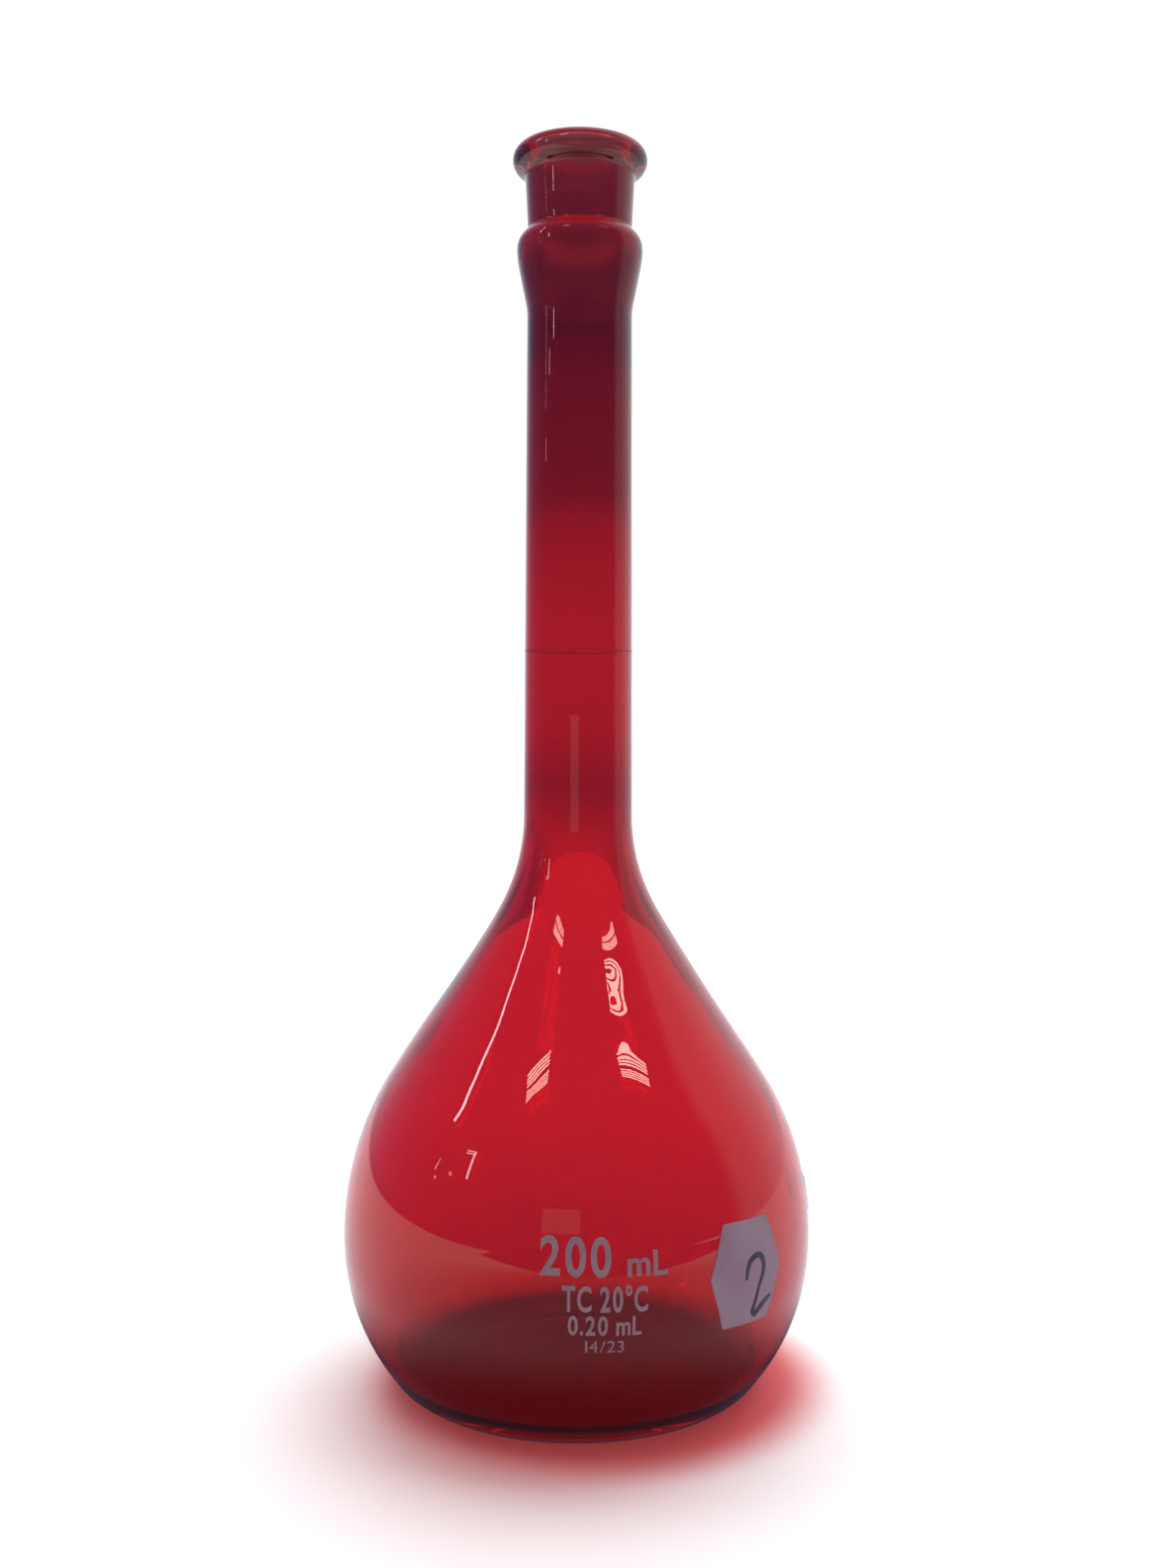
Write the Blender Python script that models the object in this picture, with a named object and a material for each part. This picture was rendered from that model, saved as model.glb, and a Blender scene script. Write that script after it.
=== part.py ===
"""Volumetric flask, 200 mL, ruby glass: the blown body, its printed marks and its label.

Metres, +Z up.  The origin is the centre of the base on the surface it stands on, and the
print faces -Y.  The glass is one turned body, and every printed figure is its own body.
"""

from math import acos, asin, ceil, cos, pi, radians, sin, sqrt

import bmesh
import bpy
from mathutils import Vector

# Bulb and neck, outside
BULB_RADIUS = 0.03725
EQUATOR_HEIGHT = 0.0238
LOWER_ARC_RADIUS = 0.0345      # outline below the equator
BASE_CORNER_RADIUS = 0.0062
UPPER_ARC_RADIUS = 0.0468      # outline above the equator
UPPER_ARC_ANGLE = radians(35.0)
FLANK_RADIUS = 0.394           # long hollow curve between bulb and flare
FLARE_ANGLE = radians(30.7)    # lean of the flank where the flare starts
FLARE_RADIUS = 0.0293
NECK_RADIUS_TOP = 0.00828

# Walls and base
WALL = 0.0015
FLOOR_THICKNESS = 0.0033
STANDING_RING_INNER_RADIUS = 0.0205
PUNT_HEIGHT = 0.0012

# Collar under the stopper socket
COLLAR_RADIUS = 0.00992
COLLAR_HEIGHT = 0.1794
COLLAR_FLARE_ANGLE = radians(11.5)
COLLAR_FOOT_RADIUS = 0.012
COLLAR_CROWN_RADIUS = 0.015
SHOULDER_RADIUS = 0.0032
FILLET_RADIUS = 0.0006

# Stopper socket, taper 14/23, and lip
SOCKET_WALL_RADIUS_LOW = 0.00823
SOCKET_WALL_RADIUS_HIGH = 0.00861
LIP_RADIUS = 0.0023
LIP_CENTRE_RADIUS = 0.0083
LIP_CENTRE_HEIGHT = 0.1931
MOUTH_EDGE_RADIUS = 0.0076
MOUTH_CHAMFER = 0.0005
SOCKET_RADIUS = 0.00725
SOCKET_LENGTH = 0.023
SOCKET_SLOPE = 0.05            # 1 in 10 on the diameter
SOCKET_RUN_OUT = 0.012         # where the socket's small end widens into the bore

# Marks, label and ink
MARK_GAP = 0.0003
ENAMEL_THICKNESS = 0.0002
RING_HEIGHT = 0.1163           # the 200 mL line
RING_WIDTH = 0.0004
PRINT_AZIMUTH = radians(6.2)   # from -Y towards +X
SIDE_PRINT_AZIMUTH = radians(90.0)
PRINT_LEAN = radians(-2.0)
BOLD = 0.022                   # how far a bold figure's outline grows, in text sizes
LETTER_GAP = 0.16              # in capital heights
WORD_GAP = 0.45
LABEL_AZIMUTH = radians(42.0)
LABEL_HEIGHT = 0.0259
LABEL_LEAN = radians(-2.0)
LABEL_WIDTH = 0.0147           # from point to point
LABEL_EDGE = 0.0094            # upper and lower edge
LABEL_TALL = 0.0150
LABEL_THICKNESS = 0.0002
INK_RADIUS = 0.0003
INK_LEAN = radians(-8.0)
INK_WIDTH = 0.0050
INK_TALL = 0.0087
INK_RIGHT = 0.0020             # from the label's middle
INK_UP = -0.0023
INK_BOW_START = radians(160.0)
INK_BOW_END = radians(-40.0)
INK_BOW_POINTS = 11
INK_FOOT_RISE = 0.1            # climb of the foot of the 2 over its length

# Fineness
SEGMENTS = 48
CHORD_ERROR = 0.00006
LONGEST_STEP = radians(24.0)

# Printed lines: name, words, azimuth, height of the line's middle, capital height, width of
# the line, how far its middle is to the right of the block's, and weight
PRINT = [
    ("capacity", ["200"], PRINT_AZIMUTH, 0.03110, 0.0051, 0.0100, -0.0041, BOLD),
    ("capacity_unit", ["mL"], PRINT_AZIMUTH, 0.03025, 0.0033, 0.0059, 0.0062, BOLD),
    ("temperature", ["TC", "20°C"], PRINT_AZIMUTH, 0.02540, 0.0034, 0.0121, 0.0, BOLD),
    ("tolerance", ["0.20", "mL"], PRINT_AZIMUTH, 0.02170, 0.0026, 0.0104, 0.0, BOLD),
    ("socket_size", ["14/23"], PRINT_AZIMUTH, 0.01870, 0.0017, 0.0055, 0.0, 0.0),
    ("side_capacity", ["200"], SIDE_PRINT_AZIMUTH, 0.03060, 0.0051, 0.0100, 0.0, BOLD),
    ("side_capacity_unit", ["mL"], SIDE_PRINT_AZIMUTH, 0.02400, 0.0033, 0.0059, 0.0, BOLD),
]
FIGURE_NAMES = {"°": "degree", ".": "point", "/": "slash"}


def material(name, colour, roughness, transmission=0.0):
    """One Principled BSDF material."""
    result = bpy.data.materials.new(name)
    result.use_nodes = True
    shader = result.node_tree.nodes["Principled BSDF"]
    shader.inputs["Base Color"].default_value = (*colour, 1.0)
    shader.inputs["Roughness"].default_value = roughness
    shader.inputs["Metallic"].default_value = 0.0
    shader.inputs["Transmission Weight"].default_value = transmission
    return result


def add_object(name, bm, finish):
    """Turn a bmesh into a smooth-shaded object of the scene."""
    mesh = bpy.data.meshes.new(name)
    bm.to_mesh(mesh)
    bm.free()
    mesh.shade_smooth()
    mesh.set_sharp_from_angle(angle=radians(35.0))
    mesh.materials.append(finish)
    piece = bpy.data.objects.new(name, mesh)
    bpy.context.collection.objects.link(piece)
    return piece


def arc(centre, radius, start, end):
    """Points (radius, height) of an arc, as many as its chord error asks for."""
    step = min(2.0 * acos(1.0 - CHORD_ERROR / radius), LONGEST_STEP)
    count = max(1, ceil(abs(end - start) / step))
    angles = [start + (end - start) * i / count for i in range(count + 1)]
    return [(centre[0] + radius * cos(a), centre[1] + radius * sin(a)) for a in angles]


def base_outline(wall, floor, corner_radius):
    """The bottom of a shell `wall` inside the bulb: punt, standing ring, corner and lower bulb."""
    bulb_arc = LOWER_ARC_RADIUS - wall
    bulb_centre = BULB_RADIUS - LOWER_ARC_RADIUS
    corner_height = floor + corner_radius
    drop = EQUATOR_HEIGHT - corner_height
    corner_centre = bulb_centre + sqrt((bulb_arc - corner_radius) ** 2 - drop ** 2)
    turn = -asin(drop / (bulb_arc - corner_radius))
    punt_radius = (STANDING_RING_INNER_RADIUS ** 2 + PUNT_HEIGHT ** 2) / (2.0 * PUNT_HEIGHT)
    punt_sweep = asin(STANDING_RING_INNER_RADIUS / punt_radius)
    punt = arc((0.0, floor + PUNT_HEIGHT - punt_radius), punt_radius, pi / 2, pi / 2 - punt_sweep)
    corner = arc((corner_centre, corner_height), corner_radius, -pi / 2, turn)
    bulb = arc((bulb_centre, EQUATOR_HEIGHT), bulb_arc, turn, 0.0)
    return punt + corner + bulb


def upper_outline(wall):
    """The upper bulb, the flank and the flare of a shell `wall` inside the outside."""
    upper_radius = UPPER_ARC_RADIUS - wall
    centre = (BULB_RADIUS - UPPER_ARC_RADIUS, EQUATOR_HEIGHT)
    points = arc(centre, upper_radius, 0.0, UPPER_ARC_ANGLE)
    hollow = [(FLANK_RADIUS + wall, UPPER_ARC_ANGLE, FLARE_ANGLE), (FLARE_RADIUS + wall, FLARE_ANGLE, 0.0)]
    for radius, start, end in hollow:
        last = points[-1]
        centre = (last[0] + radius * cos(start), last[1] + radius * sin(start))
        points += arc(centre, radius, pi + start, pi + end)
    return points


def collar_outline():
    """The collar: a foot, a straight flare, a crown, the shoulder and a fillet to the socket."""
    crown_centre = (COLLAR_RADIUS - COLLAR_CROWN_RADIUS, COLLAR_HEIGHT)
    crown = arc(crown_centre, COLLAR_CROWN_RADIUS, -COLLAR_FLARE_ANGLE, 0.0)
    foot_end = NECK_RADIUS_TOP + COLLAR_FOOT_RADIUS * (1.0 - cos(COLLAR_FLARE_ANGLE))
    straight_rise = (crown[0][0] - foot_end) / sin(COLLAR_FLARE_ANGLE) * cos(COLLAR_FLARE_ANGLE)
    foot_height = crown[0][1] - straight_rise - COLLAR_FOOT_RADIUS * sin(COLLAR_FLARE_ANGLE)
    foot_centre = (NECK_RADIUS_TOP + COLLAR_FOOT_RADIUS, foot_height)
    foot = arc(foot_centre, COLLAR_FOOT_RADIUS, pi, pi - COLLAR_FLARE_ANGLE)
    shoulder_centre = (COLLAR_RADIUS - SHOULDER_RADIUS, COLLAR_HEIGHT)
    fillet_radius = SOCKET_WALL_RADIUS_LOW + FILLET_RADIUS
    reach = fillet_radius - shoulder_centre[0]
    turn = acos(reach / (SHOULDER_RADIUS + FILLET_RADIUS))
    fillet_height = COLLAR_HEIGHT + (SHOULDER_RADIUS + FILLET_RADIUS) * sin(turn)
    shoulder = arc(shoulder_centre, SHOULDER_RADIUS, 0.0, turn)
    fillet = arc((fillet_radius, fillet_height), FILLET_RADIUS, pi + turn, pi)
    return foot + crown + shoulder + fillet


def lip_outline():
    """The rolled lip, from the fillet under it to the edge of the mouth."""
    fillet_radius = SOCKET_WALL_RADIUS_HIGH + FILLET_RADIUS
    reach = LIP_CENTRE_RADIUS - fillet_radius
    turn = acos(reach / (LIP_RADIUS + FILLET_RADIUS))
    fillet_height = LIP_CENTRE_HEIGHT - (LIP_RADIUS + FILLET_RADIUS) * sin(turn)
    fillet = arc((fillet_radius, fillet_height), FILLET_RADIUS, pi, turn)
    bead = arc((LIP_CENTRE_RADIUS, LIP_CENTRE_HEIGHT), LIP_RADIUS, turn - pi, pi / 2)
    return fillet + bead + [(MOUTH_EDGE_RADIUS, LIP_CENTRE_HEIGHT + LIP_RADIUS)]


def socket_outline():
    """The tapered socket and its run-out into the bore of the neck, from the mouth down."""
    top = LIP_CENTRE_HEIGHT + LIP_RADIUS - MOUTH_CHAMFER
    end_radius = SOCKET_RADIUS - SOCKET_LENGTH * SOCKET_SLOPE
    end_height = top - SOCKET_LENGTH
    bore = (NECK_RADIUS_TOP - WALL, end_height - SOCKET_RUN_OUT)
    return [(SOCKET_RADIUS, top), (end_radius, end_height), bore]


def spin_outline(outline, closed):
    """Turn an outline of (radius, height) points about Z into a bmesh."""
    bm = bmesh.new()
    points = [bm.verts.new((r, 0.0, z)) for r, z in outline]
    pairs = list(zip(points, points[1:])) + ([(points[-1], points[0])] if closed else [])
    edges = [bm.edges.new(pair) for pair in pairs]
    bmesh.ops.spin(bm, geom=points + edges, cent=(0, 0, 0), axis=(0, 0, 1), angle=2 * pi,
                   steps=SEGMENTS, use_merge=True)
    bmesh.ops.remove_doubles(bm, verts=bm.verts, dist=1e-6)
    bmesh.ops.recalc_face_normals(bm, faces=bm.faces)
    return bm


def distinct(points):
    """Leave out points that repeat the one before."""
    kept = points[:1]
    for point in points[1:]:
        if abs(point[0] - kept[-1][0]) + abs(point[1] - kept[-1][1]) > 1e-6:
            kept.append(point)
    return kept


def on_bulb(azimuth, climb, out):
    """The point `out` above the bulb's surface, `climb` along its outline from the equator."""
    radius = UPPER_ARC_RADIUS if climb > 0 else LOWER_ARC_RADIUS
    angle = climb / radius
    spread = BULB_RADIUS - radius + (radius + out) * cos(angle)
    height = EQUATOR_HEIGHT + (radius + out) * sin(angle)
    return Vector((spread * sin(azimuth), -spread * cos(azimuth), height))


def climb_at(height):
    """How far along the outline from the equator a height on the bulb is."""
    radius = UPPER_ARC_RADIUS if height > EQUATOR_HEIGHT else LOWER_ARC_RADIUS
    return radius * asin((height - EQUATOR_HEIGHT) / radius)


def wrap(point, azimuth, height, lean):
    """Bend a flat point (right, up, out) on to the bulb round a middle point."""
    right = point[0] * cos(lean) - point[1] * sin(lean)
    up = point[0] * sin(lean) + point[1] * cos(lean)
    return on_bulb(azimuth + right / BULB_RADIUS, climb_at(height) + up, point[2])


def flat_figure(character, weight):
    """One figure of the built-in font as a bmesh, 1 thick, with its left edge at zero."""
    outline = bpy.data.curves.new("figure", "FONT")
    outline.body = character
    outline.extrude = 0.5
    outline.offset = weight
    outline.resolution_u = 2
    holder = bpy.data.objects.new("figure", outline)
    bpy.context.collection.objects.link(holder)
    evaluated = holder.evaluated_get(bpy.context.evaluated_depsgraph_get())
    mesh = bpy.data.meshes.new_from_object(evaluated)
    bpy.data.objects.remove(holder)
    bm = bmesh.new()
    bm.from_mesh(mesh)
    bmesh.ops.remove_doubles(bm, verts=bm.verts, dist=1e-4)
    left = min(v.co.x for v in bm.verts)
    bmesh.ops.translate(bm, verts=bm.verts, vec=(-left, 0.0, 0.5))
    return bm


def figure_width(bm):
    """How far a figure reaches from its left edge at zero."""
    return max(v.co.x for v in bm.verts)


def make_print(enamel):
    """Every printed figure as its own body on the bulb."""
    capital = flat_figure("T", BOLD)
    capital_height = max(v.co.y for v in capital.verts)
    capital.free()
    for line_name, words, azimuth, height, tall, wide, shift, weight in PRINT:
        figures = []
        cursor = 0.0
        for word in words:
            for character in word:
                bm = flat_figure(character, weight)
                figures.append((character, bm, cursor))
                cursor += figure_width(bm) + LETTER_GAP * capital_height
            cursor += WORD_GAP * capital_height
        length = cursor - (WORD_GAP + LETTER_GAP) * capital_height
        for number, (character, bm, left) in enumerate(figures, start=1):
            for vert in bm.verts:
                right = ((vert.co.x + left) / length - 0.5) * wide + shift
                up = (vert.co.y / capital_height - 0.5) * tall
                out = MARK_GAP + vert.co.z * ENAMEL_THICKNESS
                vert.co = wrap((right, up, out), azimuth, height, PRINT_LEAN)
            name = f"{line_name}_{number}_{FIGURE_NAMES.get(character, character)}"
            add_object(name, bm, enamel)


def make_glass(glass):
    """The blown body: outside from the base up, then the bore from the mouth down."""
    outside = base_outline(0.0, 0.0, BASE_CORNER_RADIUS) + upper_outline(0.0) + collar_outline()
    inner_corner_radius = BASE_CORNER_RADIUS - WALL
    shell = base_outline(WALL, FLOOR_THICKNESS, inner_corner_radius) + upper_outline(WALL)
    outline = distinct(outside + lip_outline() + socket_outline() + shell[::-1])
    return add_object("flask_body", spin_outline(outline, closed=False), glass)


def neck_radius(height):
    """Outside radius of the straight neck at a height."""
    low = upper_outline(0.0)[-1]
    high = collar_outline()[0]
    share = (height - low[1]) / (high[1] - low[1])
    return low[0] + (high[0] - low[0]) * share


def make_graduation_ring(enamel):
    """The fill line that runs all the way round the neck."""
    inner = neck_radius(RING_HEIGHT) + MARK_GAP
    outer = inner + ENAMEL_THICKNESS
    low = RING_HEIGHT - RING_WIDTH / 2
    high = RING_HEIGHT + RING_WIDTH / 2
    outline = [(outer, low), (outer, high), (inner, high), (inner, low)]
    return add_object("graduation_ring", spin_outline(outline, closed=True), enamel)


def make_label(paper):
    """A six-sided sticker with a point to the left and to the right."""
    bm = bmesh.new()
    bmesh.ops.create_grid(bm, x_segments=12, y_segments=6, size=1.0)
    half_width = LABEL_WIDTH / 2
    point_length = (LABEL_WIDTH - LABEL_EDGE) / 2
    for vert in bm.verts:
        right = vert.co.x * half_width
        side = min(1.0, (half_width - abs(right)) / point_length)
        vert.co = Vector((right, vert.co.y * side * LABEL_TALL / 2, MARK_GAP))
    bmesh.ops.remove_doubles(bm, verts=bm.verts, dist=1e-6)
    bmesh.ops.dissolve_degenerate(bm, edges=bm.edges, dist=1e-6)
    lifted = bmesh.ops.extrude_face_region(bm, geom=list(bm.faces))["geom"]
    for item in lifted:
        if isinstance(item, bmesh.types.BMVert):
            item.co.z += LABEL_THICKNESS
    for vert in bm.verts:
        vert.co = wrap(vert.co, LABEL_AZIMUTH, LABEL_HEIGHT, LABEL_LEAN)
    bmesh.ops.recalc_face_normals(bm, faces=bm.faces)
    return add_object("label", bm, paper)


def make_ink_figure(ink):
    """The hand-drawn 2 on the label, one stroke."""
    bow = INK_WIDTH / 2
    bow_height = INK_TALL / 2 - bow
    stroke = []
    for i in range(INK_BOW_POINTS):
        turn = INK_BOW_START + (INK_BOW_END - INK_BOW_START) * i / (INK_BOW_POINTS - 1)
        stroke.append((bow * cos(turn), bow_height + bow * sin(turn)))
    last = stroke[-1]
    foot = (-bow, -INK_TALL / 2)
    toe = (INK_WIDTH * 0.6, foot[1] + INK_FOOT_RISE * INK_WIDTH)
    for start, end in ((last, foot), (foot, toe)):
        for share in (1 / 3, 2 / 3, 1.0):
            stroke.append((start[0] + (end[0] - start[0]) * share, start[1] + (end[1] - start[1]) * share))
    out = 2 * MARK_GAP + LABEL_THICKNESS + INK_RADIUS
    curve = bpy.data.curves.new("label_figure_2", "CURVE")
    curve.dimensions = "3D"
    curve.bevel_depth = INK_RADIUS
    curve.bevel_resolution = 1
    curve.use_fill_caps = True
    spline = curve.splines.new("POLY")
    spline.points.add(len(stroke) - 1)
    for knot, (right, up) in zip(spline.points, stroke):
        leaned = (INK_RIGHT + right * cos(INK_LEAN) - up * sin(INK_LEAN),
                  INK_UP + right * sin(INK_LEAN) + up * cos(INK_LEAN), out)
        knot.co = (*wrap(leaned, LABEL_AZIMUTH, LABEL_HEIGHT, 0.0), 1.0)
    curve.materials.append(ink)
    piece = bpy.data.objects.new("label_figure_2", curve)
    bpy.context.collection.objects.link(piece)
    return piece


for old in list(bpy.data.objects):
    bpy.data.objects.remove(old)

make_glass(material("ruby_glass", (0.55, 0.01, 0.02), 0.02, transmission=1.0))
white_enamel = material("enamel", (0.35, 0.28, 0.31), 0.5)
make_graduation_ring(white_enamel)
make_print(white_enamel)
make_label(material("label_paper", (0.24, 0.16, 0.24), 0.7))
make_ink_figure(material("ink", (0.02, 0.02, 0.03), 0.6))
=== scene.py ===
"""The looks of a ruby-glass volumetric flask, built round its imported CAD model."""

from math import atan2, ceil, cos, exp, pi, radians, sin

import bmesh
import bpy
from mathutils import Matrix, Vector, noise


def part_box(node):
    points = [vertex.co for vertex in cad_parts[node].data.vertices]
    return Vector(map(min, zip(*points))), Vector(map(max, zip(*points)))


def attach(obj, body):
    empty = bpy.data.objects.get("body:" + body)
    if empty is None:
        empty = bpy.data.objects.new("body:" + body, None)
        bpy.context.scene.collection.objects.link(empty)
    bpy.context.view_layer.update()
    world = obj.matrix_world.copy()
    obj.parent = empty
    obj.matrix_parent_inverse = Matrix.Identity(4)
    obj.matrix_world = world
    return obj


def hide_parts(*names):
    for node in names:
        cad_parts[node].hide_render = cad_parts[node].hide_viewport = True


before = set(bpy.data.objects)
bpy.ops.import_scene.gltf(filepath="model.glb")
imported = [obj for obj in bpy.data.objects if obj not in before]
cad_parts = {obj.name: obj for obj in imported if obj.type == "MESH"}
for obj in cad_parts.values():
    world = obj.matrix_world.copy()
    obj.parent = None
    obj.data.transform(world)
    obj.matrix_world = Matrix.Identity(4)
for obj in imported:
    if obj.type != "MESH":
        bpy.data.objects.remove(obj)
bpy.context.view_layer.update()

# --- Shape of the glass ------------------------------------------------------------------
GLASS_SEGMENTS = 224
LEAST_STEPS = 4                # new outline points for each chord of the CAD outline
STEP_LENGTH = 0.0012           # and the longest step between them
STRAIGHT_RATIO = 2.5           # a chord this much longer than its neighbour is a straight run
CORNER_ANGLE = radians(60.0)   # a sharper bend than this in the outline stays an edge
MESH_TOLERANCE = 0.000001
GROUND_TOLERANCE = 0.00001     # lower than this, the glass stands on the table
MARK_LOWEST = 0.0001           # marks are laid on the outline over this
CALM_RADIUS = 0.004            # the ripple fades out from here to the axis

# --- Ripple of the blown wall: how far it wanders from the true outline --------------------
OUTER_RIPPLE = 0.00003
INNER_RIPPLE = 0.00007
RIPPLE_LENGTH = 0.016
INNER_RIPPLE_START = (3.7, 1.9, 8.3)
# Height, reach and size of the shallow waves round the flank
FLANK_WAVE = (0.0640, 0.0075, 0.000183)
FLANK_HOLLOW = (0.0731, 0.0022, -0.00008)
FLANK_RIDGE = (0.0570, 0.0022, 0.000045)
FLANK_SHARE = (0.79, -0.63)    # the wave's and ridge's strength, and its change towards +X
LEAST_RADIUS = 0.001           # so that the share is calm at the axis
TOOL_RIPPLE = (0.0655, 0.0060, 0.000016)      # fine ripples near the wave
TOOL_RIPPLE_LENGTH = 0.0030
TOOL_RIPPLE_ROUND = 0.3        # they vary this much as fast round the flask as up it

# --- Colour of the glass ---------------------------------------------------------------------
GLASS_IOR = 1.473              # borosilicate
CLEAR_TINT = (0.97, 0.97, 0.97)
BULB_TINT = (0.31, 0.0044, 0.0036)
NECK_TINT = (0.26, 0.0034, 0.0020)
TOP_TINT = (0.17, 0.0045, 0.0040)
TINT_RANGE = (0.114, 0.146)    # the stain deepens between these heights
TOP_TINT_RANGE = (0.166, 0.174)
SHADOW_TINT = (0.80, 0.35, 0.35)
FOOT_SHADOW_TINT = (0.50, 0.0, 0.0)
FOOT_SHADOW_RANGE = (0.0005, 0.0040)
NOISE_ROUGHNESS = 0.55
SMUDGE_NOISE = (46.0, 4.0)     # a noise's scale and detail
SMUDGE_RANGE = (0.58, 0.78)
SMUDGE_ROUGHNESS = 0.035
CLOUD_NOISE = (22.0, 2.0)
CLOUD_DIMMEST = 0.93
GROUND_LOW = (0.1685, 0.1715)  # the socket's bore turns frosted between these heights
GROUND_HIGH = (0.1929, 0.1921)                # and clear again between these
GROUND_ROUGHNESS = 0.42

# --- Marks -----------------------------------------------------------------------------
ENAMEL_LIFT = 0.00001
ENAMEL_THICKNESS = 0.00005
FILL_LINE_WIDTH = 0.00014
FIGURE_RESOLUTION = 8
FIGURE_WEIGHT = 0.022          # how much bolder the print is than the font
FIGURE_STRIPS = 6              # each figure is cut into so many each way, to bend with the glass
FIGURE_WELD = 0.0001
FIGURE_SIGNS = {"degree": "°", "point": ".", "slash": "/"}
PRINTED_LINES = ("capacity", "temperature", "tolerance", "socket", "side")
LABEL_LIFT = 0.00002
LABEL_THICKNESS = 0.00010
LABEL_WIDTH = 0.0147
LABEL_TALL = 0.0150
LABEL_LEAN = radians(-2.0)
LABEL_EDGE_SHARE = 0.64        # upper or lower edge over the width from point to point
LABEL_GRID = (40, 24)
INK_LIFT = 0.000005
INK_THICKNESS = 0.00003
INK_STEP = 0.0003
# The drawn 2: right and up from the label's middle, and half the stroke's width
INK_STROKE = [(-0.0006, -0.0010, 0.00024), (-0.0004, 0.0003, 0.00036), (0.0004, 0.0016, 0.00044),
              (0.0015, 0.0021, 0.00042), (0.0027, 0.0018, 0.00046), (0.0032, 0.0008, 0.00046),
              (0.0030, -0.0007, 0.00040), (0.0021, -0.0024, 0.00034), (0.0014, -0.0043, 0.00034),
              (0.0008, -0.0059, 0.00040), (0.0014, -0.0065, 0.00046), (0.0025, -0.0057, 0.00050),
              (0.0038, -0.0049, 0.00040), (0.0050, -0.0044, 0.00020)]
EDGE_ANGLE = radians(40.0)     # a sharper bend than this in a mark stays an edge

# --- Surroundings ----------------------------------------------------------------------------
TABLE_RADIUS = 0.95
TABLE_SEGMENTS = 128
TABLE_HEIGHT = -0.0001
TABLE_WHITE = (0.9, 0.9, 0.89)
PAINTED_FOOT_GLOW = (0.70, 0.12, 0.13)               # painted red glow: the red light that the flask throws round its foot, painted on the table
PAINTED_GLOW_MIDDLE = (0.004, -0.001, 0.0)
PAINTED_GLOW_RANGE = (0.028, 0.040)
PAINTED_LIGHT_RANGE = (0.03, 0.20)                # painted light: the table glows, faintly near the flask and more away from it, by the distance from the axis
PAINTED_LIGHT_STRENGTH = (0.03, 0.60)
REFLECTION_HEIGHT = 0.0002
TABLE_SHADE = (0.01, -0.16, 0.0)              # middle of the viewer's shade, in the glass only
TABLE_SHADE_RANGE = (0.08, 0.22)
TABLE_SHADED = (0.42, 0.40, 0.52)
TABLE_OPEN = (1.10, 1.10, 1.20)
FOOT_SHADE = (0.06, 0.05, 0.08)               # the flask's own shade on the table, in the glass only
FOOT_SHADE_RANGE = (0.034, 0.062)
SHEET_CROSSING = -0.238        # the white sheet's near edge: where it crosses the axis
SHEET_SLOPE = 0.37             # and its slope
SHEET_SIDES = (-0.35, 0.5)     # how far it runs to the left and right
DARK_SIDES = (-0.7, 0.9)       # and the dark in front of it, at its own near edge
DARK_FRONT = -0.9
SHEET_HEIGHT = 0.0005
LAMP_DISTANCE = 1.5
BAR_SHARE = 0.6                # a bar of light over the step from bar to bar
WARM = (1.0, 0.72, 0.66)
LILAC = (1.0, 0.80, 0.95)
ORANGE = (1.0, 0.50, 0.25)
# Name, the four corners' azimuths and elevations, number of bars, strength, colour
LAMPS = [
    ("ceiling_lamp_left", [(-25.2, 56.1), (-41.6, 51.7), (-24.4, 53.5), (-38.0, 49.0)], 9, 17.0, WARM),
    ("ceiling_lamp_right", [(38.5, 54.5), (61.5, 49.1), (39.5, 52.6), (58.6, 47.3)], 9, 17.0, WARM),
    ("ceiling_lamp_far", [(-57.0, 29.6), (-63.0, 28.6), (-57.0, 28.0), (-63.0, 27.0)], 2, 9.0, WARM),
    ("window_gap", [(-79.4, 50.0), (-81.0, 50.0), (-79.4, 32.5), (-81.0, 32.5)], 1, 18.0, LILAC),
    ("window_gap_far", [(-57.4, 29.0), (-58.6, 29.0), (-57.4, 20.0), (-58.6, 20.0)], 1, 12.0, LILAC),
    ("door_gap", [(-76.6, 21.0), (-77.1, 21.0), (-77.6, 17.0), (-78.1, 17.0)], 1, 8.0, LILAC),
    ("lamp_dot_high", [(-67.2, 19.6), (-68.8, 19.6), (-67.2, 18.4), (-68.8, 18.4)], 1, 9.0, ORANGE),
    ("lamp_dot_low", [(-75.6, 15.8), (-76.8, 15.8), (-75.6, 14.9), (-76.8, 14.9)], 1, 9.0, ORANGE)]
CARD_CORNERS = [(-0.080, 0.066), (0.007, 0.066), (0.007, 0.110), (-0.080, 0.110)]
CARD_DEPTH = -0.285
CARD_COLOUR = (0.62, 0.60, 0.78)
ONLY_REFLECTED = {"camera": False, "transmission": False, "diffuse": False, "shadow": False}

# --- Light -----------------------------------------------------------------------------------
PAGE_WHITE = 1.10
ROOM_DUSK = (0.13, 0.14, 0.44)                # the dim side of the room, in the glass
ROOM_LIGHT = (0.36, 0.35, 0.36)               # and where it lights the flask and the table
DAYLIGHT = (0.97, 1.0, 1.1)
BEHIND_RANGE = (0.30, 0.60)    # a direction's share of +Y, from beside the flask to behind it
BESIDE_LEAST = 1.40            # the backdrop beside the flask is at least so bright
# Sine of the elevation, and how bright the backdrop is there
BACKDROP = [(-0.085, 1.50), (-0.070, 1.12), (-0.046, 0.76), (-0.030, 0.93), (-0.007, 1.16), (0.016, 1.25),
            (0.060, 1.30), (0.095, 1.17), (0.124, 0.98), (0.140, 0.63), (0.190, 0.53), (0.250, 0.42),
            (0.340, 0.31), (0.450, 0.38), (0.700, 0.22)]
BESIDE_TOP = 0.1               # the bright band beside the flask ends here
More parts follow.
